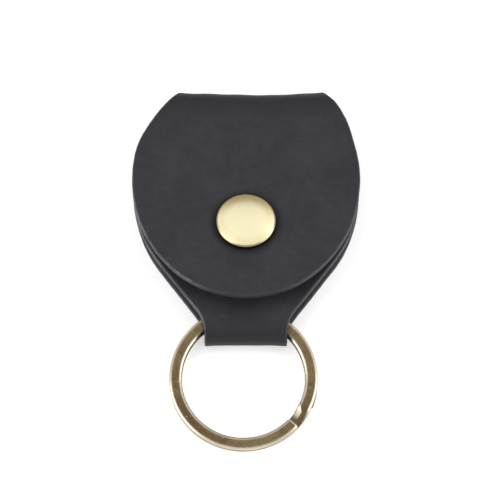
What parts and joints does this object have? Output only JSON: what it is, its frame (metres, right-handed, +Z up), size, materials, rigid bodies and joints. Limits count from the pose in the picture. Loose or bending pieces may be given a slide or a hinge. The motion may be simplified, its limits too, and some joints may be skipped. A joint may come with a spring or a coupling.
{
  "type": "snap-closed guitar pick holder on a key ring",
  "caption": "Folded leather pouch for guitar picks, with a rounded flap held by a brass snap, its narrow neck looped round a bronze split ring.",
  "frame": {"origin": "on the surface the holder lies on, under the middle of its overall length and width", "axes": "+Z up from the back panel's underside, +Y from the key ring to the top fold, +X across the holder"},
  "size_m": [0.055, 0.0908, 0.0131],
  "materials": {
    "leather": "matt smooth full-grain leather with burnished cut edges",
    "antique_bronze": "antiqued, brushed, with bright worn bevels",
    "snap_brass": "satin pale brass",
    "spring_wire": "drawn phosphor-bronze coloured spring wire"
  },
  "bodies": {
    "holder": {"back_panel": "leather", "front_root": "leather"},
    "fold": {"top_fold": "leather"},
    "flap": {"flap_panel": "leather", "snap_cap": "snap_brass", "snap_barrel": "snap_brass", "snap_socket": "snap_brass", "snap_spring": "spring_wire"},
    "pocket_front": {"front_panel": "leather", "snap_stud": "snap_brass", "snap_eyelet": "snap_brass"},
    "neck": {"neck_loop": "leather"},
    "ring": {"split_ring": "antique_bronze"}
  },
  "joints": [
    {"name": "flap_open", "type": "hinge", "parent": "holder", "child": "fold", "pos_m": [0, 0.04357, 0.00167], "axis": [-1, 0, 0], "range_deg": [0, 80], "deforming": ["top_fold", "snap_spring"]},
    {"name": "flap_unroll", "type": "hinge", "parent": "fold", "child": "flap", "pos_m": [0, 0.04377, 0.00698], "axis": [-1, 0, 0], "range_deg": [0, 80], "deforming": ["top_fold", "snap_spring"]},
    {"name": "pocket_open", "type": "hinge", "parent": "holder", "child": "pocket_front", "pos_m": [0, -0.00139, 0.00547], "axis": [1, 0, 0], "range_deg": [0, 20], "deforming": ["front_root", "snap_spring"]},
    {"name": "neck_flex", "type": "hinge", "parent": "holder", "child": "neck", "pos_m": [0, -0.00739, 0.00341], "axis": [-1, 0, 0], "range_deg": [-40, 30], "deforming": ["neck_loop"]},
    {"name": "ring_spin", "type": "hinge", "parent": "neck", "child": "ring", "pos_m": [0, -0.02797, 0.00248], "axis": [0, -0.0691, 0.9976], "continuous": true}
  ],
  "couplings": [
    {"joint": "flap_unroll", "follows": "flap_open", "ratio": 1},
    {"joint": "pocket_open", "follows": "flap_open", "ratio": 0.25}
  ]
}
